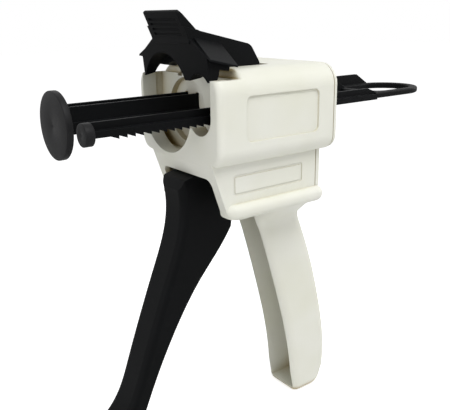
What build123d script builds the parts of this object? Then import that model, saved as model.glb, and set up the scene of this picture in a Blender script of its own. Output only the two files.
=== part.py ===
from build123d import *
import os
from math import cos, pi, sin

# Millimetres. X runs rearward, Y to the large-barrel side, Z up.
# The origin is on the housing's front face, on its centre plane, at the height of the two barrels.

# Barrels of the cartridge
LARGE_Y = 7.76
SMALL_Y = -17.3
LARGE_DISC_R = 13.0
LARGE_DISC_THICK = 2.7
SMALL_DISC_R = 4.2
SMALL_DISC_THICK = 3.5
LARGE_SADDLE_R = 18.3
LARGE_SADDLE_RISE = 1.5
SMALL_SADDLE_R = 7.46
SMALL_SADDLE_RISE = 0.8
SMALL_SADDLE_SHIFT = 0.7

# Housing, upper box
BODY_HALF = 29.7
BODY_TOP = 18.5
BODY_BOTTOM = -18.2
BODY_TOP_R = 9.0
BODY_BOTTOM_R = 6.5
BODY_SEAM = 59.4
WALL = 2.4
FRONT_EDGE_R = 2.4
FRONT_PLATE = 6.5
FLANGE_GROOVE = 3.8
FLANGE_WALL = 2.7
GUIDE_WALL = 4.0
GUIDE_RECESS = 2.7
RECESS_GAP = 0.6
POST_TOP = 15.0
TOP_START = 11.6
TOP_EDGE_R = 1.8
WEB_TOP = -4.2
PANEL_DEPTH = 0.8
PANEL_R = 2.5
PANEL_FRONT = 13.0
PANEL_REAR_GAP = 8.4
PANEL_LOW = -9.0
PANEL_HIGH = 8.7

# Housing, lower box and lip
LOWER_INSET = 5.5
SEAM_STEP = 4.6
LOWER_BOTTOM = -34.5
LOWER_SLANT = 0.34
LIP_BOTTOM = -40.9
LIP_OVERHANG = 3.8
LIP_FRONT = 6.6
LIP_REAR_OVERHANG = 4.2
LIP_PLAN_R = 5.5
LIP_EDGE_R = 2.9
SLOT_SIDE = 2.1
SLOT_FAR_STEP = 4.0
LOWER_FAR_R = 5.5
WELL_DROP = 1.2
SLOT_CORNER_R = 3.0
SLOT_TOP = -24.0
SLOT_REAR = 31.0
LINE_WIDTH = 0.8
LINE_DEPTH = 0.25
LINE_FRONT = 10.2
LINE_REAR_GAP = 7.8
LINE_LOW = -31.0
LINE_HIGH = -22.7
FLOOR_LENGTH = 10.8

# Handle
HANDLE_TOP_HALF = 9.4
FLARE_HALF = 24.0
FLARE_DROP = 11.0
FLARE_R = 9.0
HANDLE_BOTTOM_HALF = 11.0
HANDLE_BOTTOM = -148.5
HANDLE_WALL = 2.6
HANDLE_BACK_R = 4.5

# Rear cover
COVER_THICK = 3.1
COVER_INSET = 0.2
SEAM_GROOVE = 0.5
SEAM_GROOVE_DEPTH = 0.7
COVER_LOWER_THICK = 3.7
COVER_EDGE_R = 2.0
SCREW_R = 1.45
SCREW_HOLE_R = 1.5
SCREW_HEAD_R = 2.8
SCREW_HEAD_THICK = 1.5
SCREW_LENGTH = 11.0
SCREW_CLEARANCE = 0.2
SCREW_SLOT = 0.6
BOSS_R = 3.5
BOSS_LENGTH = 12.0
UPPER_BOSS_INSET = 5.3
UPPER_BOSS_Z = 8.5
LOWER_BOSS_INSET = 5.8
LOWER_BOSS_Z = -27.5

# Plunger
DISC_FRONT = -49.0
FIN_OFFSET = 4.0
FIN_THICK = 1.6
FIN_TOP = 7.0
RAIL_TOP = 1.2
RAIL_BOTTOM = -3.2
RAIL_LEDGE = 0.4
TROUGH_FLOOR = -0.8
END_BLOCK = 8.0
END_BLOCK_TOP = 4.0
SMALL_ROD_HALF = 2.7
SMALL_ROD_TOP = 1.3
SMALL_FIN_TOP = 4.1
RACK_ROOT = -1.2
RACK_TIP = -2.4
RACK_PITCH = 3.25
RACK_START = -39.3
RACK_TEETH = 31
LOOP_TOP = 2.05
LOOP_BOTTOM = -0.75
LOOP_BAR = 4.0
LOOP_CENTRE_X = 122.2
LOOP_FRONT = 97.5
LOOP_CORNER_R = 5.0
LOOP_EDGE_R = 0.9
FIN_END = 118.0
FIN_SLOPE = 8.0
SMALL_FIN_END = 93.7
ROD_CLEARANCE = 0.3
SPIGOT_R = 1.2
SPIGOT_LENGTH = 1.8
LARGE_SPIGOT_R = 2.0
DISC_EDGE_R = 0.4

# Trigger
PIVOT_X = 26.0
PIVOT_Z = -28.0
TRIGGER_HALF = 8.0
TRIGGER_WALL = 2.4
TRIGGER_EDGE_R = 3.0
HUB_R = 5.0
BUSH_LENGTH = 3.8
PIN_R = 2.0
PIN_CLEARANCE = 0.05
PRESS_GAP = 0.03
SEAT_R = 5.2
SEAT_THICK = 2.2
BUSH_R = 4.0
END_PLAY = 0.15
CHEEK_THICK = 2.6

# Drive pawl
PAWL_X = 32.5
PAWL_Z = -14.5
PAWL_PIN_R = 1.5
PAWL_HUB_R = 3.3
CHEEK_R = 3.6
NOSE_X = 23.6
NOSE_GAP = 0.7
PAWL_WIDE_END = 2.0
PAWL_PIN_OVERHANG = 1.4
CLIP_R = 3.0
CLIP_THICK = 0.7

# Latch lever, drawn closed and then lifted
LATCH_X = 29.0
LATCH_Z = 12.0
LATCH_LIFT = 13.0
LATCH_HUB_R = 4.2
LATCH_HALF = 13.5
LATCH_SLOT_HALF = 14.0
LATCH_SLOT_REAR = 37.0
LATCH_GAP = 0.3
LATCH_WALL = 2.3
LATCH_TOP = 26.4
LATCH_PIN_R = 2.0
EAR_THICK = 3.0
EAR_GAP = 0.2
EAR_HALF_LENGTH = 5.0
EAR_BOTTOM = 7.9
ARCH_R = 16.9
ARCH_REAR_R = 14.4
ARCH_Z = 0.3
SMALL_ARCH_R = 7.3
SMALL_ARCH_Y = -16.8
SMALL_ARCH_Z = 3.2
LEG_GAP = 3.2
WING_HALF = 26.2
WING_EDGE_Z = 15.9
WING_TOP_Z = 23.4
WING_FRONT = -2.6
WING_REAR = 10.4
WING_THICK = 1.5
HOLLOW_RIBS = (13.0, 17.5)
RIB_THICK = 1.2
TAB_HALF = 12.3
TAB_TOP = 32.2
TAB_CORNER_R = 1.6
TAB_RIDGES = 4
TAB_RIDGE_PITCH = 2.0
TAB_RIDGE_R = 0.55

# Springs and brake
RETURN_WIRE_R = 0.6
RETURN_COIL_R = 6.1
RETURN_TURNS = 4
RETURN_PITCH = 1.7
RETURN_LEGS = (8.0, 9.0)
PAWL_WIRE_R = 0.35
COIL_MARKS = 8
PAWL_COIL_R = 4.1
PAWL_SPRING_PITCH = 1.2
PAWL_SPRING_INSET = 2.4
PAWL_SPRING_LEGS = (3.0, 2.4)
STRIP = 0.7
BRAKE_HALF = 3.0
BRAKE_FROM_SEAM = 1.3
BRAKE_BASE = 7.5
BRAKE_RISE = 5.0
BRAKE_TAIL = 3.0
DETENT_HALF = 5.0
DETENT_BEND = 11.0
DETENT_BASE = 12.0
SMALL_SCREW_R = 1.2
SMALL_HEAD_R = 2.2
SMALL_HEAD_THICK = 1.2

# Places that follow from the sizes above
guide_front = FRONT_PLATE + FLANGE_GROOVE
guide_rear = guide_front + GUIDE_WALL
disc_back = DISC_FRONT + LARGE_DISC_THICK
small_front = DISC_FRONT + SMALL_DISC_THICK
lower_half = BODY_HALF - LOWER_INSET
lower_inner = lower_half - WALL
lower_seam = BODY_SEAM - SEAM_STEP
lip_half = lower_half + LIP_OVERHANG
lip_rear = lower_seam + LIP_REAR_OVERHANG
slot_half = lower_inner - SLOT_SIDE
flange_half = BODY_HALF - FLANGE_WALL
leg_half = flange_half - LEG_GAP
upper_boss_y = BODY_HALF - UPPER_BOSS_INSET
lower_boss_y = lower_half - LOWER_BOSS_INSET
seat_face = lower_inner - SEAT_THICK
hub_half = seat_face - BUSH_LENGTH
nose_z = RACK_TIP - NOSE_GAP
small_saddle_y = SMALL_Y + SMALL_SADDLE_SHIFT
well_top = BODY_BOTTOM - WELL_DROP
detent_screw_x = LATCH_X + DETENT_BEND + DETENT_BASE / 2 + 1
brake_rear = lower_seam - BRAKE_FROM_SEAM
brake_screw_x = brake_rear - BRAKE_BASE / 2 + 0.5
floor_top = BODY_BOTTOM + WALL
ceiling = BODY_TOP - WALL
cover_rear = BODY_SEAM + COVER_THICK
lower_cover_rear = lower_seam + COVER_LOWER_THICK
near_fin_y = LARGE_Y - FIN_OFFSET
far_fin_y = LARGE_Y + FIN_OFFSET
loop_far = far_fin_y + FIN_THICK / 2
loop_near = SMALL_Y - SMALL_ROD_HALF
loop_y = (loop_far + loop_near) / 2
loop_outer_r = (loop_far - loop_near) / 2
rail_half = FIN_OFFSET + FIN_THICK / 2 + RAIL_LEDGE
cheek_inner = TRIGGER_HALF - CHEEK_THICK


def block(x0, x1, y0, y1, z0, z1):
    """Rectangular solid between two corners."""
    return Pos((x0 + x1) / 2, (y0 + y1) / 2, (z0 + z1) / 2) * Box(x1 - x0, y1 - y0, z1 - z0)


def round_x(x0, x1, y, z, r):
    """Round bar along X."""
    return Pos((x0 + x1) / 2, y, z) * Rot(0, 90, 0) * Cylinder(r, x1 - x0)


def round_y(y0, y1, x, z, r):
    """Round bar along Y."""
    return Pos(x, (y0 + y1) / 2, z) * Rot(90, 0, 0) * Cylinder(r, y1 - y0)


def round_z(z0, z1, x, y, r):
    """Round bar along Z."""
    return Pos(x, y, (z0 + z1) / 2) * Cylinder(r, z1 - z0)


def outline(corners):
    """Flat face from (u, v, corner radius) triples."""
    points = [(u, v) for u, v, _ in corners]
    return make_face(FilletPolyline(*points, radius=[r for _, _, r in corners], close=True))


def side_solid(face, y0, y1):
    """Solid from a face drawn in X and Z, between two Y places."""
    return Pos(0, y0, 0) * extrude(Plane.XZ * face, amount=y1 - y0, dir=(0, 1, 0))


def front_solid(face, x0, x1):
    """Solid from a face drawn in Y and Z, between two X places."""
    return Pos(x0, 0, 0) * extrude(Plane.YZ * face, amount=x1 - x0, dir=(1, 0, 0))


def lower_front(z):
    """X of the lower box's slanted front at a height."""
    return (BODY_BOTTOM - z) * LOWER_SLANT


def body_section(inset):
    """Section of the upper box in Y and Z, moved in by an inset."""
    half = BODY_HALF - inset
    top = BODY_TOP - inset
    bottom = BODY_BOTTOM + inset
    top_r = BODY_TOP_R - inset
    bottom_r = BODY_BOTTOM_R - inset
    return outline(
        [
            (-half, bottom, bottom_r),
            (half, bottom, bottom_r),
            (half, top, top_r),
            (-half, top, top_r),
        ]
    )


def handle_blank():
    """Handle before it is hollowed: curved front and back, tapered sides."""
    top = LIP_BOTTOM + 1.5
    front = Spline((31, top), (36.5, -55), (45.5, -85), (51.5, -108), (56, -136))
    foot = FilletPolyline(
        (56, -136), (58.3, HANDLE_BOTTOM), (74.5, HANDLE_BOTTOM), (78.6, -139), radius=[3.5, 7]
    )
    back = Spline((78.6, -139), (79, -122), (75, -98), (68, -72), (61.4, -54), (58.2, -45), (56.5, top))
    head = Line((56.5, top), (31, top))
    solid = side_solid(make_face([front, foot, back, head]), -BODY_HALF, BODY_HALF)
    return solid & flared_taper()


def flared_taper():
    """Side taper of the handle with the flare that carries it to the lip."""
    low = HANDLE_BOTTOM - 2
    high = LIP_BOTTOM + 2
    neck = LIP_BOTTOM - FLARE_DROP
    face = outline(
        [
            (-HANDLE_BOTTOM_HALF, low, 0),
            (HANDLE_BOTTOM_HALF, low, 0),
            (HANDLE_TOP_HALF, neck, FLARE_R),
            (FLARE_HALF, LIP_BOTTOM, 0),
            (FLARE_HALF, high, 0),
            (-FLARE_HALF, high, 0),
            (-FLARE_HALF, LIP_BOTTOM, 0),
            (-HANDLE_TOP_HALF, neck, FLARE_R),
        ]
    )
    return front_solid(face, 0, 90)


def side_taper(inset):
    """Wedge that gives the handle's channel its side taper."""
    top = HANDLE_TOP_HALF - inset
    bottom = HANDLE_BOTTOM_HALF - inset
    low = HANDLE_BOTTOM - 2
    high = LIP_BOTTOM + 2
    face = outline([(-bottom, low, 0), (bottom, low, 0), (top, high, 0), (-top, high, 0)])
    return front_solid(face, 0, 90)


def handle_hollow():
    """Channel of the handle, open to the front."""
    top = LIP_BOTTOM + 4
    low = HANDLE_BOTTOM + HANDLE_WALL
    wall = HANDLE_WALL + 0.3
    back = Spline((78.6 - wall, -137), (79 - wall, -122), (75 - wall, -98), (68 - wall, -72), (59.6 - wall, -54))
    rest = Polyline(
        (59.6 - wall, -54), (56.0 - wall, -46), (52, top), (20, top), (20, low), (74 - wall, low), (78.6 - wall, -137)
    )
    return side_solid(make_face([back, rest]), -BODY_HALF, BODY_HALF) & side_taper(HANDLE_WALL)


def saddle_cut(x0, x1):
    """Two round seats, open upwards, with the low web between them."""
    top = BODY_TOP + 1
    cut = block(x0, x1, small_saddle_y, LARGE_Y, WEB_TOP, top)
    for y, z, r in (
        (LARGE_Y, LARGE_SADDLE_RISE, LARGE_SADDLE_R),
        (small_saddle_y, SMALL_SADDLE_RISE, SMALL_SADDLE_R),
    ):
        cut += round_x(x0, x1, y, z, r) + block(x0, x1, y - r, y + r, z, top)
    return cut


def front_top_cut():
    """What is taken off above the front posts, up to the rounded front of the top wall."""
    top_body = front_solid(body_section(0), TOP_START, BODY_SEAM)
    top_body = fillet(top_body.faces().sort_by(Axis.X)[0].edges(), TOP_EDGE_R)
    reach = BODY_HALF + 1
    return block(-1, TOP_START + TOP_EDGE_R, -reach, reach, POST_TOP, BODY_TOP + 1) - top_body


def latch_slot_cut():
    """Slot of the latch lever, with the guide wall left standing inside the lever's hollow."""
    top = BODY_TOP + 1
    low = LATCH_Z + 2.2 - LATCH_GAP
    room = LATCH_HALF - LATCH_WALL - LATCH_GAP
    cut = block(TOP_START - 1, LATCH_SLOT_REAR, -LATCH_SLOT_HALF, LATCH_SLOT_HALF, POST_TOP, top)
    for side in (-1, 1):
        y0, y1 = sorted((side * room, side * LATCH_SLOT_HALF))
        cut += block(guide_front, guide_rear, y0, y1, low, top)
    return cut


def rod_holes(x0, x1):
    """Holes that guide the two rods, with running clearance."""
    gap = ROD_CLEARANCE
    fin = FIN_THICK / 2 + gap
    rail = rail_half + gap
    holes = block(x0, x1, LARGE_Y - rail, LARGE_Y + rail, RAIL_BOTTOM - gap, RAIL_TOP + gap)
    holes += block(x0, x1, near_fin_y, far_fin_y, 0, END_BLOCK_TOP + gap)
    for y in (near_fin_y, far_fin_y):
        holes += block(x0, x1, y - fin, y + fin, 0, FIN_TOP + gap)
    side = SMALL_ROD_HALF + gap
    holes += block(x0, x1, SMALL_Y - side, SMALL_Y + side, RACK_TIP - gap, SMALL_ROD_TOP + gap)
    holes += block(x0, x1, SMALL_Y - fin, SMALL_Y + fin, 0, SMALL_FIN_TOP + gap)
    return holes


def side_panel(x0, x1, z0, z1, r, depth, face_y):
    """Shallow rounded panel to cut into a side face."""
    face = outline([(x0, z0, r), (x1, z0, r), (x1, z1, r), (x0, z1, r)])
    return side_solid(face, face_y - depth, face_y + 1)


def build_housing():
    """White moulding: upper box, lower box, lip and handle."""
    upper = front_solid(body_section(0), 0, BODY_SEAM)
    upper = fillet(upper.faces().sort_by(Axis.X)[0].edges(), FRONT_EDGE_R)
    low = LIP_BOTTOM + 1
    lower_face = outline(
        [
            (0, BODY_BOTTOM + FRONT_EDGE_R, 0),
            (lower_front(BODY_BOTTOM), BODY_BOTTOM, 0),
            (lower_front(low), low, 0),
            (lower_seam, low, 0),
            (lower_seam, BODY_BOTTOM + FRONT_EDGE_R, 0),
        ]
    )
    lower = side_solid(lower_face, -lower_half, lower_half)
    far_front = [
        e for e in lower.edges() if e.center().Y > lower_half - 0.01 and e.center().X < lip_rear / 2
        and e.center().Z < BODY_BOTTOM and abs(e.bounding_box().size.Z) > 10
    ]
    lower = fillet(far_front, LOWER_FAR_R)
    lip = block(LIP_FRONT, lip_rear, -lip_half, lip_half, LIP_BOTTOM, LOWER_BOTTOM)
    lip = fillet(lip.edges().filter_by(Axis.Z), LIP_PLAN_R)
    rims = lip.faces().sort_by(Axis.Z)
    lip = fillet(rims[0].edges() + rims[-1].edges(), LIP_EDGE_R)
    handle = handle_blank()
    corners = [e for e in handle.edges() if e.center().X > 57 and abs(e.center().Y) > 8 and e.center().Z < -45]
    handle = fillet([e for e in corners if e.geom_type != GeomType.LINE], HANDLE_BACK_R)

    shell = upper + lower + lip + handle
    shell -= front_solid(body_section(WALL), guide_rear, BODY_SEAM + 1)
    front_inner = lower_front(BODY_BOTTOM) + WALL
    slope = lower_front(LIP_BOTTOM) + WALL
    well = outline(
        [
            (front_inner, well_top, 0),
            (slope, LIP_BOTTOM + WALL, 0),
            (lower_seam + 1, LIP_BOTTOM + WALL, 0),
            (lower_seam + 1, well_top, 0),
        ]
    )
    shell -= side_solid(well, -lower_inner, lower_inner)
    shell -= block(guide_rear, lower_seam - FLOOR_LENGTH, -lower_inner, lower_inner, well_top - 1, floor_top + 1)
    shell -= block(lower_seam, BODY_SEAM + 1, -lower_half, lower_half, LOWER_BOTTOM, floor_top)
    slot = outline(
        [
            (-slot_half, LIP_BOTTOM - 1, 0),
            (slot_half - SLOT_FAR_STEP, LIP_BOTTOM - 1, 0),
            (slot_half - SLOT_FAR_STEP, SLOT_TOP, SLOT_CORNER_R),
            (-slot_half, SLOT_TOP, SLOT_CORNER_R),
        ]
    )
    shell -= front_solid(slot, -1, SLOT_REAR)
    shell -= handle_hollow()

    shell -= saddle_cut(-1, guide_front)
    groove_low = LARGE_SADDLE_RISE - LARGE_SADDLE_R
    shell -= block(FRONT_PLATE, guide_front, -flange_half, flange_half, groove_low, BODY_TOP + 1)
    shell -= front_top_cut()
    shell -= round_x(guide_front - 1, guide_front + GUIDE_RECESS, LARGE_Y, 0, LARGE_DISC_R + RECESS_GAP)
    shell -= round_x(guide_front - 1, guide_front + GUIDE_RECESS, SMALL_Y, 0, SMALL_DISC_R + RECESS_GAP)
    shell -= rod_holes(guide_front, guide_rear + 1)
    shell -= latch_slot_cut()

    for side in (-1, 1):
        panel = side_panel(PANEL_FRONT, BODY_SEAM - PANEL_REAR_GAP, PANEL_LOW, PANEL_HIGH, PANEL_R, PANEL_DEPTH, BODY_HALF)
        line_rear = lower_seam - LINE_REAR_GAP
        ring = side_panel(LINE_FRONT, line_rear, LINE_LOW, LINE_HIGH, 1.2, LINE_DEPTH, lower_half)
        inner = LINE_WIDTH
        ring -= side_panel(
            LINE_FRONT + inner, line_rear - inner, LINE_LOW + inner, LINE_HIGH - inner, 0.6, LINE_DEPTH + 1, lower_half
        )
        cuts = panel + ring
        shell -= cuts if side > 0 else mirror(cuts, about=Plane.XZ)
        shell += screw_boss(side * upper_boss_y, UPPER_BOSS_Z, BODY_SEAM)
        shell += screw_boss(side * lower_boss_y, LOWER_BOSS_Z, lower_seam)
        shell += pin_seat(side)
        shell += latch_ear(side)
    return shell


def screw_boss(y, z, seam):
    """Boss inside the housing that takes one cover screw."""
    boss = round_x(seam - BOSS_LENGTH, seam, y, z, BOSS_R)
    return boss - round_x(seam - BOSS_LENGTH, seam, y, z, SCREW_HOLE_R)


def pin_seat(side):
    """Boss on a side wall that takes an end of the trigger pin."""
    y0, y1 = sorted((side * seat_face, side * lower_inner))
    seat = round_y(y0, y1, PIVOT_X, PIVOT_Z, SEAT_R)
    return seat - round_y(y0, y1, PIVOT_X, PIVOT_Z, PIN_R + PIN_CLEARANCE)


def latch_ear(side):
    """Ear under the top wall that carries the latch pin."""
    inner = LATCH_SLOT_HALF + EAR_GAP
    y0, y1 = sorted((side * inner, side * (inner + EAR_THICK)))
    x0, x1 = LATCH_X - EAR_HALF_LENGTH, LATCH_X + EAR_HALF_LENGTH
    ear = block(x0, x1, y0, y1, EAR_BOTTOM, ceiling)
    return ear - round_y(y0, y1, LATCH_X, LATCH_Z, LATCH_PIN_R + PIN_CLEARANCE)


def screw_places():
    """(y, z, seam, rear face) of each cover screw."""
    for side in (-1, 1):
        yield side * upper_boss_y, UPPER_BOSS_Z, cover_rear
        yield side * lower_boss_y, LOWER_BOSS_Z, lower_cover_rear


def build_rear_cover():
    """White plate that closes the back, stepped under the upper box."""
    plate = front_solid(body_section(COVER_INSET), BODY_SEAM, cover_rear)
    half = lower_half - COVER_INSET
    plate = fillet(plate.faces().sort_by(Axis.X)[-1].edges(), COVER_EDGE_R)
    groove_rear = BODY_SEAM + SEAM_GROOVE
    rim = front_solid(body_section(0), BODY_SEAM, groove_rear)
    plate -= rim - front_solid(body_section(SEAM_GROOVE_DEPTH), BODY_SEAM, groove_rear)
    plate += block(lower_seam, BODY_SEAM + 1, -half, half, BODY_BOTTOM, floor_top)
    lower = block(lower_seam, lower_cover_rear, -half, half, LOWER_BOTTOM, BODY_BOTTOM + 1)
    edges = [e for e in lower.edges().filter_by(Axis.Z) if e.center().X > lower_seam + 1]
    lower = fillet(edges, COVER_EDGE_R)
    groove_half = lower_half - SEAM_GROOVE_DEPTH
    for y0, y1 in ((-half, -groove_half), (groove_half, half)):
        lower -= block(lower_seam, lower_seam + SEAM_GROOVE, y0, y1, LOWER_BOTTOM, BODY_BOTTOM)
    plate += lower
    plate -= rod_holes(lower_seam, cover_rear + 1)
    for y, z, rear in screw_places():
        plate -= round_x(lower_seam, rear + 1, y, z, SCREW_HOLE_R + SCREW_CLEARANCE)
        plate -= round_x(rear - SCREW_HEAD_THICK, rear + 1, y, z, SCREW_HEAD_R + SCREW_CLEARANCE)
    return plate


def cross_slot(x0, x1, y, z, half, half_width):
    """Cross recess in a screw head that faces along X."""
    level = block(x0, x1, y - half, y + half, z - half_width, z + half_width)
    return level + block(x0, x1, y - half_width, y + half_width, z - half, z + half)


def build_cover_screws():
    """Four screws with slotted-cross round heads."""
    screws = []
    for y, z, rear in screw_places():
        head = round_x(rear - SCREW_HEAD_THICK, rear - 0.1, y, z, SCREW_HEAD_R)
        shank = round_x(rear - SCREW_LENGTH, rear - SCREW_HEAD_THICK, y, z, SCREW_R)
        cross = cross_slot(rear - 0.9, rear, y, z, SCREW_HEAD_R / 2, SCREW_SLOT / 2)
        screws.append(head + shank - cross)
    return screws


def rack_face():
    """Side view of the toothed strip: each ramp falls rearward to an upright step."""
    points = [(RACK_START, RACK_ROOT + 0.6)]
    for i in range(RACK_TEETH):
        x = RACK_START + i * RACK_PITCH
        points.append((x, RACK_ROOT))
        points.append((x + RACK_PITCH, RACK_TIP))
    points.append((RACK_START + RACK_TEETH * RACK_PITCH, RACK_ROOT + 0.6))
    return make_face(Polyline(*points, close=True))


def rail_profile(end, slope_end):
    """Side view of a rail with its fin, cut down in a slope at the rear."""
    return outline(
        [
            (disc_back, RAIL_BOTTOM, 0),
            (end, RAIL_BOTTOM, 0),
            (end, LOOP_TOP, 0),
            (slope_end, FIN_TOP, 0),
            (disc_back, FIN_TOP, 0),
        ]
    )


def build_plunger():
    """Both rods, the rack and the pull loop in one moulding."""
    fin = FIN_THICK / 2
    rail_end = LOOP_FRONT + LOOP_BAR
    rod = block(disc_back, rail_end, LARGE_Y - rail_half, LARGE_Y + rail_half, RAIL_BOTTOM, RAIL_TOP)
    near = rail_profile(rail_end, rail_end - FIN_SLOPE)
    rod += side_solid(near, near_fin_y - fin, near_fin_y + fin)
    rod += side_solid(near, far_fin_y - fin, far_fin_y + fin)
    trough_front = disc_back + END_BLOCK
    rod -= block(trough_front, rail_end + 1, near_fin_y + fin, far_fin_y - fin, TROUGH_FLOOR, FIN_TOP + 1)
    rod += block(disc_back, trough_front, near_fin_y, far_fin_y, RAIL_BOTTOM, END_BLOCK_TOP)
    tail = outline(
        [
            (LOOP_FRONT, LOOP_BOTTOM, 0),
            (FIN_END + FIN_SLOPE, LOOP_BOTTOM, 0),
            (FIN_END + FIN_SLOPE, LOOP_TOP, 0),
            (FIN_END, FIN_TOP, 0),
            (LOOP_FRONT - FIN_SLOPE, FIN_TOP, 0),
            (LOOP_FRONT - FIN_SLOPE, LOOP_BOTTOM, 0),
        ]
    )
    rod += side_solid(tail, far_fin_y - fin, far_fin_y + fin)

    low_y, high_y = SMALL_Y - SMALL_ROD_HALF, SMALL_Y + SMALL_ROD_HALF
    small = block(small_front, LOOP_FRONT + 1, low_y, high_y, RACK_ROOT, SMALL_ROD_TOP)
    small += side_solid(rack_face(), low_y, high_y)
    fin_face = outline(
        [
            (small_front, 0, 0),
            (SMALL_FIN_END + FIN_SLOPE, 0, 0),
            (SMALL_FIN_END + FIN_SLOPE, SMALL_ROD_TOP, 0),
            (SMALL_FIN_END, SMALL_FIN_TOP, 0),
            (small_front, SMALL_FIN_TOP, 0),
        ]
    )
    small += side_solid(fin_face, SMALL_Y - fin, SMALL_Y + fin)

    z0, z1 = LOOP_BOTTOM, LOOP_TOP
    inner_r = loop_outer_r - LOOP_BAR
    loop = round_z(z0, z1, LOOP_CENTRE_X, loop_y, loop_outer_r)
    loop += block(LOOP_FRONT, LOOP_CENTRE_X, loop_y - loop_outer_r, loop_y + loop_outer_r, z0, z1)
    loop -= round_z(z0, z1, LOOP_CENTRE_X, loop_y, inner_r)
    opening_front = LOOP_FRONT + LOOP_BAR + 1.5
    opening = block(opening_front, LOOP_CENTRE_X, loop_y - inner_r, loop_y + inner_r, z0, z1)
    opening = fillet(opening.edges().filter_by(Axis.Z).sort_by(Axis.X)[:2], LOOP_CORNER_R)
    loop -= opening
    rims = [e for e in loop.edges() if min(abs(e.center().Z - z0), abs(e.center().Z - z1)) < 0.01]
    loop = fillet(rims, LOOP_EDGE_R)
    plunger = rod + small + loop
    plunger += round_x(disc_back - SPIGOT_LENGTH, disc_back, LARGE_Y, 0, LARGE_SPIGOT_R)
    return plunger + round_x(small_front - SPIGOT_LENGTH, small_front, SMALL_Y, 0, SPIGOT_R)


def pusher_disc(y, r, thick, spigot_r):
    """Rounded pusher, pressed on its rod's spigot from the front."""
    back = DISC_FRONT + thick
    disc = round_x(DISC_FRONT, back, y, 0, r)
    disc = fillet([e for e in disc.edges() if e.geom_type == GeomType.CIRCLE], DISC_EDGE_R)
    return disc - round_x(back - SPIGOT_LENGTH - PIN_CLEARANCE, back, y, 0, spigot_r + PIN_CLEARANCE)


def build_large_disc():
    """Pusher of the large barrel."""
    return pusher_disc(LARGE_Y, LARGE_DISC_R, LARGE_DISC_THICK, LARGE_SPIGOT_R)


def build_small_disc():
    """Pusher of the small barrel."""
    return pusher_disc(SMALL_Y, SMALL_DISC_R, SMALL_DISC_THICK, SPIGOT_R)


def lever_profile():
    """Side view of the squeeze lever."""
    front = Spline((-4.2, -30), (-4, -44), (-11.2, -66), (-26.7, -106), (-32.6, -119.5), (-39.5, -127.5))
    tip = FilletPolyline((-39.5, -127.5), (-42, -131.5), (-33, -134.5), (-27.5, -126.5), radius=[1.5, 3])
    back = Spline((-27.5, -126.5), (-18.5, -106.6), (-7.4, -86.5), (3.5, -71), (14.5, -58.4), (20.6, -50))
    top = FilletPolyline(
        (20.6, -50), (22.5, -38), (PIVOT_X + 3, PIVOT_Z - 4), (PIVOT_X, PIVOT_Z + HUB_R - 0.4), (3.6, -24.4),
        (-2.4, -26), (-4.2, -30), radius=[2, 1, 1, 2, 1.5]
    )
    return make_face([front, tip, back, top])


def lever_hollow():
    """Channel in the lever, open towards the handle."""
    front = Spline((-0.6, -46), (-8.2, -66), (-23.2, -105), (-29.0, -119))
    rest = Polyline((-29.0, -119), (-5, -121), (30, -66), (12, -50), (3, -45.5), (-0.6, -46))
    inner = TRIGGER_HALF - TRIGGER_WALL
    return side_solid(make_face([front, rest]), -inner, inner)


def build_trigger():
    """Squeeze lever with its hub and the two cheeks that carry the pawl."""
    lever = side_solid(lever_profile(), -TRIGGER_HALF, TRIGGER_HALF)
    long_edges = [e for e in lever.edges() if abs(abs(e.center().Y) - TRIGGER_HALF) < 0.01 and e.length > 60]
    front_edges = sorted(long_edges, key=lambda e: e.center().X)[:2]
    lever = fillet(front_edges, TRIGGER_EDGE_R)
    lever -= lever_hollow()
    lever += round_y(-hub_half, hub_half, PIVOT_X, PIVOT_Z, HUB_R)
    cheek_face = make_hull(
        [Edge.make_circle(HUB_R).moved(Pos(PIVOT_X, PIVOT_Z)), Edge.make_circle(CHEEK_R).moved(Pos(PAWL_X, PAWL_Z))]
    )
    lever += side_solid(cheek_face, -TRIGGER_HALF, -cheek_inner)
    lever += side_solid(cheek_face, cheek_inner, TRIGGER_HALF)
    lever -= round_y(-hub_half, hub_half, PIVOT_X, PIVOT_Z, PIN_R + PIN_CLEARANCE)
    return lever - round_y(-TRIGGER_HALF, TRIGGER_HALF, PAWL_X, PAWL_Z, PAWL_PIN_R + PRESS_GAP)


def build_trigger_pin():
    """Steel pin that the trigger turns on."""
    reach = lower_inner - 0.1
    return round_y(-reach, reach, PIVOT_X, PIVOT_Z, PIN_R)


def build_trigger_bushes():
    """Spacer bushes between the hub and the housing."""
    bushes = []
    for side in (-1, 1):
        y0, y1 = sorted((side * (hub_half + END_PLAY), side * (seat_face - END_PLAY)))
        bush = round_y(y0, y1, PIVOT_X, PIVOT_Z, BUSH_R)
        bushes.append(bush - round_y(y0, y1, PIVOT_X, PIVOT_Z, PIN_R + PIN_CLEARANCE))
    return bushes


def build_pawl():
    """Drive pawl: hub between the cheeks and a wide nose under the rack."""
    arm = outline(
        [
            (NOSE_X, nose_z, 0),
            (NOSE_X + 3.2, nose_z - 1.5, 0),
            (PAWL_X + 2.2, PAWL_Z + 2.2, 0),
            (PAWL_X - 2.2, PAWL_Z - 2.2, 0),
            (NOSE_X, nose_z - 3.2, 0),
        ]
    )
    half = cheek_inner - END_PLAY
    small_edge = SMALL_Y - SMALL_ROD_HALF - 0.2
    wide = side_solid(arm, small_edge, PAWL_WIDE_END)
    wide -= round_y(small_edge, PAWL_WIDE_END, PAWL_X, PAWL_Z, CHEEK_R + 1.4)
    pawl = side_solid(arm, -half, PAWL_WIDE_END) + wide
    pawl += round_y(-half, half, PAWL_X, PAWL_Z, PAWL_HUB_R)
    return pawl - round_y(-half, half, PAWL_X, PAWL_Z, PAWL_PIN_R + PIN_CLEARANCE)


def build_pawl_pin():
    """Pin that the pawl turns on."""
    reach = TRIGGER_HALF + PAWL_PIN_OVERHANG
    return round_y(-reach, reach, PAWL_X, PAWL_Z, PAWL_PIN_R)


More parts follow.
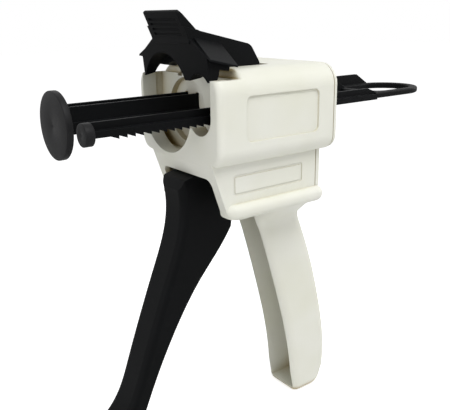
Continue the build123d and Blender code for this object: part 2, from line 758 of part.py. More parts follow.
def build_pawl_clips():
    """Retaining rings on the pawl pin."""
    rings = []
    for side in (-1, 1):
        y0, y1 = sorted((side * (TRIGGER_HALF + 0.1), side * (TRIGGER_HALF + 0.1 + CLIP_THICK)))
        ring = round_y(y0, y1, PAWL_X, PAWL_Z, CLIP_R)
        rings.append(ring - round_y(y0, y1, PAWL_X, PAWL_Z, PAWL_PIN_R + PRESS_GAP))
    return rings


def wing_section():
    """Roof over both legs, drawn in Y and Z."""
    rise = LATCH_TOP
    return outline(
        [
            (-WING_HALF, WING_EDGE_Z - 0.7, 0),
            (-WING_HALF, WING_EDGE_Z, 0),
            (-LATCH_HALF, WING_TOP_Z, 0),
            (-LATCH_HALF, rise, 1),
            (LATCH_HALF, rise, 1),
            (LATCH_HALF, WING_TOP_Z, 0),
            (WING_HALF, WING_EDGE_Z, 0),
            (WING_HALF, WING_EDGE_Z - 0.7, 0),
            (LATCH_HALF, WING_TOP_Z - WING_THICK - 0.7, 0),
            (-LATCH_HALF, WING_TOP_Z - WING_THICK - 0.7, 0),
        ]
    )


def arm_profile():
    """Side view of the lever's arm with its thumb tab."""
    return outline(
        [
            (-4.6, 21.0, 0),
            (-5.0, 22.6, 0.5),
            (-11.4, 31.2, 0.6),
            (-10.6, TAB_TOP, 0.6),
            (-1.0, LATCH_TOP, 2),
            (24.6, LATCH_TOP - 0.2, 4.5),
            (30.6, 20.2, 3),
            (LATCH_X + LATCH_HUB_R, LATCH_Z + 1, 0),
            (LATCH_X + 1, LATCH_Z - LATCH_HUB_R + 0.4, 0),
            (LATCH_X - LATCH_HUB_R, LATCH_Z, 1),
            (19.5, 14.2, 2),
            (6.0, 14.2, 0),
        ]
    )


def arm_hollow():
    """Space under the arm's top, between its side walls."""
    return outline(
        [
            (8.6, 8, 0),
            (8.6, LATCH_TOP - LATCH_WALL, 1),
            (22.5, LATCH_TOP - LATCH_WALL, 2),
            (26.6, 19.0, 2),
            (25.6, 15.0, 0),
            (20, 8, 0),
        ]
    )


def leg_profile():
    """Side view of the legs: a tall front part and a shorter part behind it."""
    return outline(
        [
            (0.2, 7.6, 0),
            (3.8, 9.4, 0),
            (3.8, 13.4, 0),
            (8.3, 13.4, 0),
            (8.3, 24.0, 0),
            (-4.9, 24.0, 0),
            (-4.4, 21.6, 0),
        ]
    )


def build_latch_closed():
    """Latch lever in its closed place, its underside along the barrels."""
    arm = side_solid(arm_profile(), -LATCH_HALF, LATCH_HALF)
    arm += round_y(-LATCH_HALF, LATCH_HALF, LATCH_X, LATCH_Z, LATCH_HUB_R)
    trim = LATCH_HALF - TAB_HALF
    for side in (-1, 1):
        y0, y1 = sorted((side * TAB_HALF, side * (TAB_HALF + trim + 1)))
        arm -= block(-14, -1.2, y0, y1, LATCH_TOP + 0.2, 34)
        corner_y = side * (TAB_HALF - TAB_CORNER_R)
        y0, y1 = sorted((corner_y, side * (TAB_HALF + 1)))
        corner = block(-14, -6, y0, y1, TAB_TOP - TAB_CORNER_R, TAB_TOP + 1)
        arm -= corner - round_x(-14, -6, corner_y, TAB_TOP - TAB_CORNER_R, TAB_CORNER_R)
    legs = side_solid(leg_profile(), -leg_half, leg_half)
    roof_room = outline(
        [
            (-WING_HALF, 0, 0),
            (WING_HALF, 0, 0),
            (WING_HALF, WING_EDGE_Z - 0.7, 0),
            (LATCH_HALF, WING_TOP_Z - 1, 0),
            (LATCH_HALF, LATCH_TOP, 0),
            (-LATCH_HALF, LATCH_TOP, 0),
            (-LATCH_HALF, WING_TOP_Z - 1, 0),
            (-WING_HALF, WING_EDGE_Z - 0.7, 0),
        ]
    )
    legs &= front_solid(roof_room, -10, 20)
    roof = front_solid(wing_section(), WING_FRONT, WING_REAR)
    lever = arm + legs + roof
    hollow = side_solid(arm_hollow(), -LATCH_HALF + LATCH_WALL, LATCH_HALF - LATCH_WALL)
    for x in HOLLOW_RIBS:
        hollow -= block(x, x + RIB_THICK, -LATCH_HALF, LATCH_HALF, 18.5, LATCH_TOP)
    lever -= hollow
    lever -= round_x(-8, 3.9, LARGE_Y, ARCH_Z, ARCH_R)
    lever -= round_x(3.8, 12, LARGE_Y, ARCH_Z, ARCH_REAR_R)
    lever -= round_x(-8, 12, SMALL_ARCH_Y, SMALL_ARCH_Z, SMALL_ARCH_R)
    return lever - round_y(-LATCH_HALF, LATCH_HALF, LATCH_X, LATCH_Z, LATCH_PIN_R + PIN_CLEARANCE)


def tab_grooves():
    """Finger grooves across the thumb tab's front."""
    foot = Vector(-5.0, 0, 22.6)
    head = Vector(-11.4, 0, 31.2)
    along = (head - foot).normalized()
    field = TAB_HALF - 2.2
    grooves = []
    for i in range(TAB_RIDGES):
        at = foot + along * (1.6 + i * TAB_RIDGE_PITCH)
        grooves.append(round_y(-field, field, at.X, at.Z, TAB_RIDGE_R))
    return grooves


def build_latch():
    """Latch lever, grooved and lifted as it stands at rest."""
    lever = build_latch_closed()
    for groove in tab_grooves():
        lever -= groove
    pivot = Axis((LATCH_X, 0, LATCH_Z), (0, 1, 0))
    return lever.rotate(pivot, LATCH_LIFT)


def build_latch_pin():
    """Pin that the latch lever turns on."""
    reach = LATCH_SLOT_HALF + EAR_GAP + EAR_THICK
    return round_y(-reach, reach, LATCH_X, LATCH_Z, LATCH_PIN_R)


def strip_solid(points, radii, half, y):
    """Bent flat spring, drawn as its middle line in X and Z."""
    line = FilletPolyline(*points, radius=radii)
    return side_solid(trace(line, line_width=STRIP), y - half, y + half)


def build_detent_spring():
    """Flat spring that bears on the latch hub."""
    z = ceiling - STRIP / 2
    bearing = LATCH_X + LATCH_HUB_R + 1.0
    bend = LATCH_X + DETENT_BEND
    line = [(bend + DETENT_BASE, z), (bend, z), (bearing, LATCH_Z + 0.3), (bearing + 0.8, LATCH_Z - 2.2)]
    spring = strip_solid(line, [2, 1.2], DETENT_HALF, 0)
    return spring - round_z(ceiling - STRIP, ceiling, detent_screw_x, 0, SMALL_SCREW_R + PRESS_GAP)


def build_detent_screw():
    """Screw that holds the detent spring to the top wall."""
    head = round_z(ceiling - STRIP - SMALL_HEAD_THICK, ceiling - STRIP, detent_screw_x, 0, SMALL_HEAD_R)
    return head + round_z(ceiling - STRIP, ceiling, detent_screw_x, 0, SMALL_SCREW_R)


def build_rod_brake():
    """Flat spring under the large rod that holds the plunger where it is put."""
    z = floor_top + STRIP / 2
    top = RAIL_BOTTOM - 0.1 - STRIP / 2
    bend = brake_rear - BRAKE_BASE
    crest = bend - BRAKE_RISE
    line = [(brake_rear, z), (bend, z), (crest, top), (crest - BRAKE_TAIL, top - 1.6)]
    spring = strip_solid(line, [1.5, 1.5], BRAKE_HALF, LARGE_Y)
    return spring - round_z(floor_top, floor_top + STRIP, brake_screw_x, LARGE_Y, SMALL_SCREW_R + PRESS_GAP)


def build_brake_screw():
    """Screw that holds the rod brake to the floor."""
    head_low = floor_top + STRIP
    head = round_z(head_low, head_low + SMALL_HEAD_THICK, brake_screw_x, LARGE_Y, SMALL_HEAD_R)
    return head + round_z(floor_top, head_low, brake_screw_x, LARGE_Y, SMALL_SCREW_R)


def coil(x, z, y0, turns, pitch, coil_r, wire_r, legs):
    """Torsion spring about a Y axis: tangent arcs of a quarter turn with a straight leg at each end."""
    steps = 4 * turns
    rise = pitch * turns / steps
    points = [
        Vector(x + coil_r * sin(i * pi / 2), y0 + i * rise, z + coil_r * cos(i * pi / 2)) for i in range(steps + 1)
    ]
    tangent = Vector(coil_r * pi / 2, rise, 0)
    start = points[0] - tangent.normalized() * legs[0]
    edges = [Edge.make_line(start, points[0])]
    for a, b in zip(points, points[1:]):
        arc = Edge.make_tangent_arc(a, tangent, b)
        edges.append(arc)
        tangent = arc % 1
    edges.append(Edge.make_line(points[-1], points[-1] + tangent * legs[1]))
    marks = [edge @ (k / COIL_MARKS) for edge in edges for k in range(COIL_MARKS)]
    far = 2 * COIL_MARKS
    spacing = min((b - a).length for i, a in enumerate(marks) for b in marks[i + far :])
    print("least gap between turns", round(spacing - 2 * wire_r, 2))
    path = Wire(edges)
    section = Plane(origin=start, z_dir=edges[0] % 0) * Circle(wire_r)
    return sweep(section, path=path)


def build_return_spring():
    """Coil spring on the trigger's hub."""
    beside = TRIGGER_HALF + RETURN_WIRE_R + 0.4
    return coil(
        PIVOT_X, PIVOT_Z, beside, RETURN_TURNS, RETURN_PITCH, RETURN_COIL_R, RETURN_WIRE_R, RETURN_LEGS
    )


def build_pawl_spring():
    """Coil spring on the pawl's hub side, between the cheeks."""
    beside = cheek_inner - PAWL_SPRING_INSET
    return coil(PAWL_X, PAWL_Z, beside, 1, PAWL_SPRING_PITCH, PAWL_COIL_R, PAWL_WIRE_R, PAWL_SPRING_LEGS)


NODES = {
    "housing": build_housing,
    "rear_cover": build_rear_cover,
    "cover_screws": build_cover_screws,
    "plunger": build_plunger,
    "large_pusher_disc": build_large_disc,
    "small_pusher_disc": build_small_disc,
    "trigger": build_trigger,
    "trigger_pivot_pin": build_trigger_pin,
    "trigger_bushes": build_trigger_bushes,
    "trigger_return_spring": build_return_spring,
    "drive_pawl": build_pawl,
    "pawl_pin": build_pawl_pin,
    "pawl_pin_clips": build_pawl_clips,
    "pawl_spring": build_pawl_spring,
    "latch_lever": build_latch,
    "latch_pivot_pin": build_latch_pin,
    "latch_detent_spring": build_detent_spring,
    "detent_spring_screw": build_detent_screw,
    "rod_brake": build_rod_brake,
    "rod_brake_screw": build_brake_screw,
}


def main():
    """Write each node to its own file."""
    os.makedirs("parts", exist_ok=True)
    for name, build in NODES.items():
        shape = build()
        if isinstance(shape, list):
            shape = Compound(children=[s.solid() for s in shape])
        export_step(shape, f"parts/{name}.step")
        print(name, round(shape.volume, 1))


main()
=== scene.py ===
import logging
import math
from dataclasses import dataclass, field
from enum import Enum

import bmesh
import bpy
from mathutils import Matrix, Vector


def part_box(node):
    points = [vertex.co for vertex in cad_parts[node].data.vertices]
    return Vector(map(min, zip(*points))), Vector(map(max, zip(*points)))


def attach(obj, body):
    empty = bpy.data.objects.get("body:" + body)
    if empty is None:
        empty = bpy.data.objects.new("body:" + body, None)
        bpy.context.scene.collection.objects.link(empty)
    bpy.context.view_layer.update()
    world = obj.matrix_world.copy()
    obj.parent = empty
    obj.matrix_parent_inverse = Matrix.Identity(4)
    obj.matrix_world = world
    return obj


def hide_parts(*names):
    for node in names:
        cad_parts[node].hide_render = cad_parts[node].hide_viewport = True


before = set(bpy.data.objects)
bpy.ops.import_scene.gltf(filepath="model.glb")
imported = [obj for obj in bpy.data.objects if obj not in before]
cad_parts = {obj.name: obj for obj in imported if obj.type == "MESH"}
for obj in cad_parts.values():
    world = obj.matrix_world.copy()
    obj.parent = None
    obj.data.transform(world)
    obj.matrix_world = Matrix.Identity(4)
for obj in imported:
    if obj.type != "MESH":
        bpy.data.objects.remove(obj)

MM = 0.001
WELD_MM = 0.001
POLE_WELD_MM = 0.002
LOG = logging.getLogger("dispenser")


class Body(str, Enum):
    """Bodies of the frame that a piece can ride on."""

    HOUSING = "housing"
    PLUNGER = "plunger"
    TRIGGER = "trigger"
    PAWL = "pawl"
    LATCH = "latch"


class Slot(str, Enum):
    """Material slots of the record."""

    WHITE = "white_abs"
    BLACK = "black_nylon"
    GREY = "grey_acetal"
    STEEL = "steel"
    SPRING = "spring_steel"


def linear(hex_colour: str) -> tuple[float, float, float, float]:
    """Turn an sRGB hex colour to linear RGBA.

    Args:
        hex_colour: Colour written as "#rrggbb".

    Returns:
        Linear red, green, blue and an alpha of one.
    """
    parts = [int(hex_colour[i:i + 2], 16) / 255 for i in (1, 3, 5)]
    red, green, blue = (c / 12.92 if c <= 0.04045 else ((c + 0.055) / 1.055) ** 2.4 for c in parts)
    return red, green, blue, 1.0


def add_node(tree: bpy.types.NodeTree, kind: str, values: dict | None = None, links: dict | None = None,
             **settings: object) -> bpy.types.Node:
    """Add one node with its settings, socket values and incoming links.

    Args:
        tree: Node tree that takes the node.
        kind: Blender's type name of the node.
        values: Socket name or number to its value.
        links: Socket name or number to the output socket that feeds it.
        **settings: Attributes of the node.

    Returns:
        The new node.
    """
    node = tree.nodes.new(kind)
    for name, value in settings.items():
        setattr(node, name, value)
    for socket, value in (values or {}).items():
        node.inputs[socket].default_value = value
    for socket, source in (links or {}).items():
        tree.links.new(source, node.inputs[socket])
    return node


def empty_material(name: str) -> tuple[bpy.types.Material, bpy.types.NodeTree]:
    """Make a material with an empty node tree.

    Args:
        name: Name of the material.

    Returns:
        The material and its node tree.
    """
    material = bpy.data.materials.new(name)
    material.use_nodes = True
    material.node_tree.nodes.clear()
    return material, material.node_tree


@dataclass(frozen=True)
class MouldedPlastic:
    """Injection-moulded plastic: a fine sparked grain, a slow flow tone and softly rounded edges."""

    name: str
    colour: str
    flow_colour: str
    # Colour mixed in at edges: partly rub wear, partly a painted highlight.
    edge_wear_highlight_colour: str
    roughness: float
    ior: float
    specular: float
    grain_mm: float
    grain_depth: float
    edge_mm: float
    edge_wear_highlight_amount: float
    flow_mm: float = 28.0
    flow_band: tuple[float, float] = (0.35, 0.7)
    edge_turn: tuple[float, float] = (0.99, 0.8)
    haze: float = 0.06
    # Painted shade: colour mixed in where ambient occlusion finds recesses and hollows.
    painted_shade_colour: str | None = None
    painted_shade_mm: float = 16.0
    painted_shade_band: tuple[float, float] = (0.6, 0.16)

    def build(self) -> bpy.types.Material:
        """Build the material.

        Returns:
            The finished material.
        """
        material, tree = empty_material(self.name)
        place = add_node(tree, "ShaderNodeTexCoord").outputs["Object"]
        flow = add_node(tree, "ShaderNodeTexNoise", {"Scale": 1 / (self.flow_mm * MM), "Detail": 2.0},
                        {"Vector": place})
        grain = add_node(tree, "ShaderNodeTexNoise", {"Scale": 1 / (self.grain_mm * MM), "Detail": 3.0},
                         {"Vector": place})
        rounded = add_node(tree, "ShaderNodeBevel", {"Radius": self.edge_mm * MM}, samples=6)
        flat = add_node(tree, "ShaderNodeNewGeometry").outputs["Normal"]
        # Edge mask from the rounded normals: it lightens the edges, partly as rub wear and partly as a painted
        # highlight.
        agree = add_node(tree, "ShaderNodeVectorMath", links={0: rounded.outputs["Normal"], 1: flat},
                         operation="DOT_PRODUCT")
        start, full = self.edge_turn
        edge = add_node(tree, "ShaderNodeMapRange", {"From Min": start, "From Max": full, "To Max": self.edge_wear_highlight_amount},
                        {"Value": agree.outputs["Value"]})
        patch = add_node(tree, "ShaderNodeMapRange",
                         {"From Min": self.flow_band[0], "From Max": self.flow_band[1]},
                         {"Value": flow.outputs["Fac"]})
        tone = add_node(tree, "ShaderNodeMix", {6: linear(self.colour), 7: linear(self.flow_colour)},
                        {0: patch.outputs["Result"]}, data_type="RGBA")
        worn_and_highlit = add_node(tree, "ShaderNodeMix", {7: linear(self.edge_wear_highlight_colour)},
                        {0: edge.outputs["Result"], 6: tone.outputs[2]}, data_type="RGBA")
        colour = worn_and_highlit.outputs[2]
        # Painted shade: an ambient-occlusion mask darkens and browns the colour in recesses and hollows.
        if self.painted_shade_colour:
            occlusion = add_node(tree, "ShaderNodeAmbientOcclusion", {"Distance": self.painted_shade_mm * MM},
                               samples=12)
            depth = add_node(tree, "ShaderNodeMapRange",
                             {"From Min": self.painted_shade_band[0], "From Max": self.painted_shade_band[1]},
                             {"Value": occlusion.outputs["AO"]})
            colour = add_node(tree, "ShaderNodeMix", {7: linear(self.painted_shade_colour)},
                              {0: depth.outputs["Result"], 6: colour}, data_type="RGBA").outputs[2]
        gloss = add_node(tree, "ShaderNodeMapRange",
                         {"To Min": self.roughness - self.haze, "To Max": self.roughness + self.haze},
                         {"Value": grain.outputs["Fac"]})
        bump = add_node(tree, "ShaderNodeBump", {"Strength": 1.0, "Distance": self.grain_depth * MM},
                        {"Height": grain.outputs["Fac"], "Normal": rounded.outputs["Normal"]})
        shader = add_node(tree, "ShaderNodeBsdfPrincipled",
                          {"IOR": self.ior, "Specular IOR Level": self.specular},
                          {"Base Color": colour, "Roughness": gloss.outputs["Result"],
                           "Normal": bump.outputs["Normal"]})
        add_node(tree, "ShaderNodeOutputMaterial", links={"Surface": shader.outputs["BSDF"]})
        return material


@dataclass(frozen=True)
class DrawnSteel:
    """Drawn or ground steel: fine lines along one axis and a little tarnish."""

    name: str
    colour: str
    tarnish: str
    roughness: float
    line_mm: float
    line_depth: float
    along: int = 1
    line_stretch: float = 0.06
    spot_mm: float = 1.8
    spot_band: tuple[float, float] = (0.5, 0.75)
    tarnish_most: float = 0.5
    edge_mm: float = 0.15

    def build(self) -> bpy.types.Material:
        """Build the material.

        Returns:
            The finished material.
        """
        material, tree = empty_material(self.name)
        place = add_node(tree, "ShaderNodeTexCoord").outputs["Object"]
        stretch = [1.0, 1.0, 1.0]
        stretch[self.along] = self.line_stretch
        run = add_node(tree, "ShaderNodeMapping", {"Scale": stretch}, {"Vector": place})
        lines = add_node(tree, "ShaderNodeTexNoise", {"Scale": 1 / (self.line_mm * MM), "Detail": 2.0},
                         {"Vector": run.outputs["Vector"]})
        spots = add_node(tree, "ShaderNodeTexNoise", {"Scale": 1 / (self.spot_mm * MM), "Detail": 3.0},
                         {"Vector": place})
        start, full = self.spot_band
        dull = add_node(tree, "ShaderNodeMapRange",
                        {"From Min": start, "From Max": full, "To Max": self.tarnish_most},
                        {"Value": spots.outputs["Fac"]})
        tone = add_node(tree, "ShaderNodeMix", {6: linear(self.colour), 7: linear(self.tarnish)},
                        {0: dull.outputs["Result"]}, data_type="RGBA")
        gloss = add_node(tree, "ShaderNodeMapRange",
                         {"To Min": self.roughness - 0.08, "To Max": self.roughness + 0.1},
                         {"Value": lines.outputs["Fac"]})
        rounded = add_node(tree, "ShaderNodeBevel", {"Radius": self.edge_mm * MM}, samples=4)
        bump = add_node(tree, "ShaderNodeBump", {"Distance": self.line_depth * MM},
                        {"Height": lines.outputs["Fac"], "Normal": rounded.outputs["Normal"]})
        shader = add_node(tree, "ShaderNodeBsdfPrincipled", {"Metallic": 1.0},
                          {"Base Color": tone.outputs[2], "Roughness": gloss.outputs["Result"],
                           "Normal": bump.outputs["Normal"]})
        add_node(tree, "ShaderNodeOutputMaterial", links={"Surface": shader.outputs["BSDF"]})
        return material


# Moulded ABS, natural white: warm and satin, with a sparked grain of 0.45 mm that breaks up the shine.
# Deep inside, an ambient-occlusion mask paints a duller, browner shade where little light gets in.
# Its lighter edge colour is partly wear, partly a painted highlight.
WHITE_ABS = MouldedPlastic(name="moulded_white_abs", colour="#e8e8de", flow_colour="#e3e3d5",
                           edge_wear_highlight_colour="#f1f2e9", roughness=0.44, ior=1.53, specular=0.4, grain_mm=0.45,
                           grain_depth=0.012, edge_mm=0.45, edge_wear_highlight_amount=0.35, painted_shade_colour="#ab9558")
# Glass-filled black nylon: nearly black and matt, slightly greyed at its edges, partly where hands and guides rub
# them and partly as a painted highlight.
BLACK_NYLON = MouldedPlastic(name="moulded_black_nylon", colour="#040506", flow_colour="#060709",
                             edge_wear_highlight_colour="#181b1e", roughness=0.56, ior=1.5, specular=0.09, grain_mm=0.55,
                             grain_depth=0.02, edge_mm=0.35, edge_wear_highlight_amount=0.5, haze=0.08)
# Acetal, dark grey: a waxy sheen and a slightly lighter body than the nylon.
# Its lighter edge colour is partly rub wear, partly a painted highlight.
GREY_ACETAL = MouldedPlastic(name="moulded_grey_acetal", colour="#1d1d1e", flow_colour="#212122",
                             edge_wear_highlight_colour="#3a3a3a", roughness=0.45, ior=1.48, specular=0.12, grain_mm=0.6,
                             grain_depth=0.01, edge_mm=0.3, edge_wear_highlight_amount=0.5, haze=0.08)
# Ground steel of pins and screws, and the darker drawn wire of the springs.
GROUND_STEEL = DrawnSteel("ground_steel", "#b9bbbd", "#8d8f92", 0.3, 0.25, 0.004)
SPRING_STEEL = DrawnSteel("drawn_spring_steel", "#8f9195", "#5f6063", 0.28, 0.2, 0.003)


class Palette:
    """Builds each finish once and hands it out by slot."""

    RECIPES = {Slot.WHITE: WHITE_ABS, Slot.BLACK: BLACK_NYLON, Slot.GREY: GREY_ACETAL,
               Slot.STEEL: GROUND_STEEL, Slot.SPRING: SPRING_STEEL}

    def __init__(self) -> None:
        """Build every finish."""
        self.made = {slot: recipe.build() for slot, recipe in self.RECIPES.items()}

    def dress(self, obj: bpy.types.Object, slot: Slot) -> None:
        """Give an object one finish all over.

        Args:
            obj: Object to dress.
            slot: Slot of the finish.
        """
        obj.data.materials.clear()
        obj.data.materials.append(self.made[slot])

    def dress_node(self, name: str, slot: Slot) -> None:
        """Give a CAD node its finish.

        Args:
            name: Name of the node.
            slot: Slot of the finish.
        """
        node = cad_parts[name]
        for place in node.material_slots:
            place.material = self.made[slot]
        if not node.material_slots:
            node.data.materials.append(self.made[slot])


def finish_piece(name: str, mesh: bmesh.types.BMesh, body: Body, slot: Slot, palette: Palette,
                 smooth_deg: float = 35.0, replaces: tuple[str, ...] = ()) -> bpy.types.Object:
    """Turn a bmesh into a dressed piece that rides on a body.

    Args:
        name: Name of the piece.
        mesh: Finished bmesh in the row frame, in metres. It is freed.
        body: Body that carries the piece.
        slot: Slot of its finish.
        palette: Source of the finishes.
        smooth_deg: Faces that meet at less than this angle are shaded as one.
        replaces: CAD nodes that the piece stands for.

    Returns:
        The new object.
    """
    bmesh.ops.remove_doubles(mesh, verts=mesh.verts, dist=WELD_MM * MM)
    bmesh.ops.recalc_face_normals(mesh, faces=mesh.faces)
    for face in mesh.faces:
        face.smooth = True
    for edge in mesh.edges:
        edge.smooth = len(edge.link_faces) == 2 and edge.calc_face_angle(0) < math.radians(smooth_deg)
    data = bpy.data.meshes.new(name)
    mesh.to_mesh(data)
    mesh.free()
    obj = bpy.data.objects.new(name, data)
    bpy.context.scene.collection.objects.link(obj)
    palette.dress(obj, slot)
    if replaces:
        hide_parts(*replaces)
    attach(obj, body.value)
    LOG.info("%s rides on %s", name, body.value)
    return obj


def turned(profile: list[tuple[float, float]], centre: Vector, axis: Vector,
           steps: int = 96) -> bmesh.types.BMesh:
    """Spin a profile round an axis into a closed turned shape.

    Args:
        profile: (distance along the axis, radius) pairs in millimetres, from pole to pole.
        centre: Point on the axis that distances start from, in metres.
        axis: Unit direction of the axis.
        steps: Number of segments round the axis.

    Returns:
        The turned shape.
    """
    mesh = bmesh.new()
    side = axis.orthogonal().normalized()
    points = [mesh.verts.new(centre + axis * along * MM + side * radius * MM) for along, radius in profile]
    edges = [mesh.edges.new(pair) for pair in zip(points, points[1:])]
    bmesh.ops.spin(mesh, geom=points + edges, cent=centre, axis=axis, angle=math.tau, steps=steps,
                   use_merge=True, use_duplicate=False)
    bmesh.ops.remove_doubles(mesh, verts=mesh.verts, dist=POLE_WELD_MM * MM)
    return mesh


@dataclass
class Pushers:
    """The two pusher discs at the front of the plunger."""

    thick: dict = field(default_factory=lambda: {"large": 2.7, "small": 3.5})
    radius: dict = field(default_factory=lambda: {"large": 13.0, "small": 4.2})
    bore: dict = field(default_factory=lambda: {"large": 2.05, "small": 1.25})
    rim: float = 0.4
    mark: float = 1.3
    mark_depth: float = 0.1
    mark_slope: float = 0.2
    bore_depth: float = 1.85

    def build(self, palette: Palette) -> None:
        """Build both discs and dress the rods.

        Args:
            palette: Source of the finishes.
        """
        for size in ("large", "small"):
            node = f"{size}_pusher_disc"
            low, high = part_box(node)
            centre = Vector((low[0], (low[1] + high[1]) / 2, (low[2] + high[2]) / 2))
            disc = turned(self.half_section(size), centre, Vector((1, 0, 0)))
            finish_piece(f"{size}_pusher", disc, Body.PLUNGER, Slot.GREY, palette, replaces=(node,))
        palette.dress_node("plunger", Slot.BLACK)

    def half_section(self, size: str) -> list[tuple[float, float]]:
        """Half section of a disc: a faint gate mark in front, rounded rims and a blind bore behind.

        Args:
            size: Which of the two discs.

        Returns:
            (along, radius) pairs in millimetres.
        """
        radius, thick, bore, mark = self.radius[size], self.thick[size], self.bore[size], self.mark / 2
        rim = [(self.rim - self.rim * math.sin(a), radius - self.rim + self.rim * math.cos(a))
               for a in (math.pi / 2, math.pi / 3, math.pi / 6, 0)]
        back = [(thick - x, r) for x, r in reversed(rim)]
        floor = thick - self.bore_depth
        gate = [(self.mark_depth, 0), (self.mark_depth, mark), (0.0, mark + self.mark_slope)]
        return [*gate, *rim, *back, (thick, bore), (floor, bore), (floor, 0)]


@dataclass
class WireSpring:
    """Torsion spring of round wire, wound about an axis along Y."""

    name: str
    node: str
    body: Body
    centre: tuple[float, float, float]
    coil_r: float
    wire_r: float
    turns: int
    pitch: float
    legs: tuple[float, float]
    marks: int = 24
    smooth_deg: float = 60.0

    def build(self, palette: Palette) -> None:
        """Sweep the wire along its winding.

        Args:
            palette: Source of the finishes.
        """
        x, y, z = self.centre
        points = [Vector((x - self.legs[0], y, z + self.coil_r))]
        for i in range(self.marks * self.turns + 1):
            turn = i / self.marks
            angle = math.tau * turn
            points.append(Vector((x + self.coil_r * math.sin(angle), y + self.pitch * turn,
                                  z + self.coil_r * math.cos(angle))))
        points.append(points[-1] + Vector((self.legs[1], 0, 0)))
        curve = bpy.data.curves.new(self.name, "CURVE")
        curve.dimensions = "3D"
        curve.bevel_depth = self.wire_r * MM
        curve.bevel_resolution = 4
        curve.use_fill_caps = True
        spline = curve.splines.new("POLY")
        spline.points.add(len(points) - 1)
        for point, place in zip(spline.points, points):
            point.co = (*(place * MM), 1.0)
        wire = bpy.data.objects.new(self.name + "_wire", curve)
        bpy.context.scene.collection.objects.link(wire)
        mesh = bmesh.new()
        made = bpy.data.meshes.new_from_object(wire.evaluated_get(bpy.context.evaluated_depsgraph_get()))
        mesh.from_mesh(made)
        bpy.data.objects.remove(wire)
        finish_piece(self.name, mesh, self.body, Slot.SPRING, palette, self.smooth_deg, (self.node,))


# Spring on the trigger's hub that brings the trigger forward, and the small one that lifts the pawl.
RETURN_SPRING = WireSpring(name="return_spring", node="trigger_return_spring", body=Body.HOUSING,
                           centre=(26.0, 9.0, -28.0), coil_r=6.1, wire_r=0.6, turns=4, pitch=1.7,
                           legs=(8.0, 9.0))
PAWL_SPRING = WireSpring(name="pawl_lift_spring", node="pawl_spring", body=Body.TRIGGER,
                         centre=(32.5, 3.0, -14.5), coil_r=4.1, wire_r=0.35, turns=1, pitch=1.2,
                         legs=(3.0, 2.4))


@dataclass
class Fasteners:
    """Pins, screws, rings, bushes, flat springs and the pawl, which keep their CAD shape."""

    steel: tuple[str, ...] = ("cover_screws", "trigger_pivot_pin", "pawl_pin", "pawl_pin_clips",
                              "latch_pivot_pin", "detent_spring_screw", "rod_brake_screw", "drive_pawl")
    springs: tuple[str, ...] = ("latch_detent_spring", "rod_brake")
    grey: tuple[str, ...] = ("trigger_bushes",)

    def dress(self, palette: Palette) -> None:
        """Dress every small part.

        Args:
            palette: Source of the finishes.
        """
        for names, slot in ((self.steel, Slot.STEEL), (self.springs, Slot.SPRING), (self.grey, Slot.GREY)):
            for name in names:
                palette.dress_node(name, slot)


@dataclass
class Shell:
    """The white housing with its rear cover."""

    nodes: tuple[str, ...] = ("housing", "rear_cover")

    def dress(self, palette: Palette) -> None:
        """Dress the white mouldings.

        Args:
            palette: Source of the finishes.
        """
        for name in self.nodes:
            palette.dress_node(name, Slot.WHITE)


@dataclass
class Levers:
    """The black trigger and latch lever."""

    nodes: tuple[str, ...] = ("trigger", "latch_lever")

    def dress(self, palette: Palette) -> None:
        """Dress the black levers.

        Args:
            palette: Source of the finishes.
        """
        for name in self.nodes:
            palette.dress_node(name, Slot.BLACK)


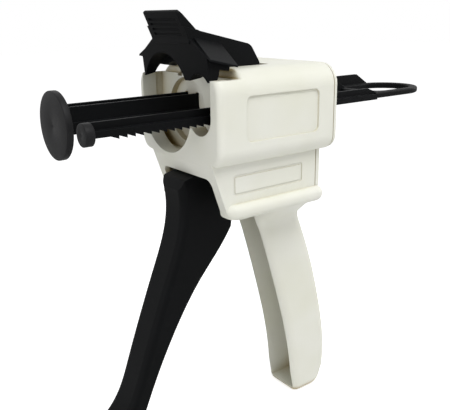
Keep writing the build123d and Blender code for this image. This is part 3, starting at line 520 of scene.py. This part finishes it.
@dataclass
class Studio:
    """White floor, soft lamps and the camera at the photograph's angle."""

    camera_at: tuple[float, float, float] = (-134.264, -216.030, 39.074)
    target: tuple[float, float, float] = (23.481, 0.0, -42.931)
    roll_deg: float = -1.103
    lens_mm: float = 50.247
    sensor_mm: float = 36.0
    clip_m: tuple[float, float] = (0.01, 20.0)
    floor_z: float = -148.5
    floor_size: float = 6000.0
    paper: str = "#f4f4f4"
    paper_glow: float = 0.7
    ambient: float = 0.36
    lamps: dict = field(default_factory=lambda: {
        "key": ((20.0, -430.0, 640.0), 420.0, 3.9),
        "front": ((-620.0, -160.0, 120.0), 380.0, 0.95),
        "rear": ((640.0, -120.0, 220.0), 420.0, 1.15),
    })

    def build(self) -> None:
        """Set the floor, world, lamps and camera."""
        self.world()
        self.floor()
        for name, (place, size, power) in self.lamps.items():
            self.lamp(name, Vector(place) * MM, size * MM, power)
        self.camera()

    def world(self) -> None:
        """White where the camera or a reflection sees it, and a softer level as light."""
        world = bpy.data.worlds.new("studio")
        world.use_nodes = True
        bpy.context.scene.world = world
        tree = world.node_tree
        tree.nodes.clear()
        path = add_node(tree, "ShaderNodeLightPath")
        seen = path.outputs["Is Camera Ray"]
        for ray in ("Is Glossy Ray", "Is Transmission Ray"):
            seen = add_node(tree, "ShaderNodeMath", links={0: seen, 1: path.outputs[ray]},
                            operation="MAXIMUM").outputs[0]
        level = add_node(tree, "ShaderNodeMapRange", {"To Min": self.ambient, "To Max": 1.0},
                         {"Value": seen})
        light = add_node(tree, "ShaderNodeBackground", {"Color": (1.0, 1.0, 1.0, 1.0)},
                         {"Strength": level.outputs["Result"]})
        add_node(tree, "ShaderNodeOutputWorld", links={"Surface": light.outputs["Background"]})

    def floor(self) -> None:
        """A matt white sweep that keeps a faint shadow of the object."""
        material, tree = empty_material("paper_sweep")
        path = add_node(tree, "ShaderNodeLightPath")
        paper = add_node(tree, "ShaderNodeBsdfDiffuse", {"Color": linear(self.paper)})
        seen = add_node(tree, "ShaderNodeMapRange", {"To Max": self.paper_glow},
                        {"Value": path.outputs["Is Camera Ray"]})
        glow = add_node(tree, "ShaderNodeEmission", {"Color": (1.0, 1.0, 1.0, 1.0)},
                        {"Strength": seen.outputs["Result"]})
        both = add_node(tree, "ShaderNodeAddShader",
                        links={0: paper.outputs["BSDF"], 1: glow.outputs["Emission"]})
        add_node(tree, "ShaderNodeOutputMaterial", links={"Surface": both.outputs["Shader"]})
        mesh = bmesh.new()
        bmesh.ops.create_grid(mesh, x_segments=1, y_segments=1, size=self.floor_size * MM / 2,
                              matrix=Matrix.Translation((0, 0, self.floor_z * MM)))
        data = bpy.data.meshes.new("floor")
        mesh.to_mesh(data)
        mesh.free()
        data.materials.append(material)
        floor = bpy.data.objects.new("floor", data)
        bpy.context.scene.collection.objects.link(floor)

    def lamp(self, name: str, place: Vector, size: float, power: float) -> None:
        """Add one square softbox that faces the object.

        Args:
            name: Name of the lamp.
            place: Its place in metres.
            size: Side length in metres.
            power: Power in watts.
        """
        data = bpy.data.lights.new(name, "AREA")
        data.size = size
        data.energy = power
        lamp = bpy.data.objects.new(name, data)
        lamp.location = place
        lamp.rotation_euler = (Vector(self.target) * MM - place).to_track_quat("-Z", "Y").to_euler()
        bpy.context.scene.collection.objects.link(lamp)

    def camera(self) -> None:
        """Place the camera where the photograph was taken from."""
        place, target = Vector(self.camera_at) * MM, Vector(self.target) * MM
        turn = (target - place).to_track_quat("-Z", "Y").to_matrix().to_4x4()
        data = bpy.data.cameras.new("camera")
        data.sensor_fit = "HORIZONTAL"
        data.sensor_width = self.sensor_mm
        data.lens = self.lens_mm
        data.clip_start, data.clip_end = self.clip_m
        camera = bpy.data.objects.new("camera", data)
        roll = Matrix.Rotation(math.radians(self.roll_deg), 4, "Z")
        camera.matrix_world = Matrix.Translation(place) @ turn @ roll
        bpy.context.scene.collection.objects.link(camera)
        bpy.context.scene.camera = camera
        bpy.context.scene.view_settings.view_transform = "Standard"


def main() -> None:
    """Build and dress the dispenser, sub-assembly by sub-assembly."""
    logging.basicConfig(level=logging.INFO)
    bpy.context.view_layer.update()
    palette = Palette()
    Studio().build()
    Shell().dress(palette)
    Levers().dress(palette)
    Fasteners().dress(palette)
    Pushers().build(palette)
    RETURN_SPRING.build(palette)
    PAWL_SPRING.build(palette)


if __name__ == "__main__":
    main()
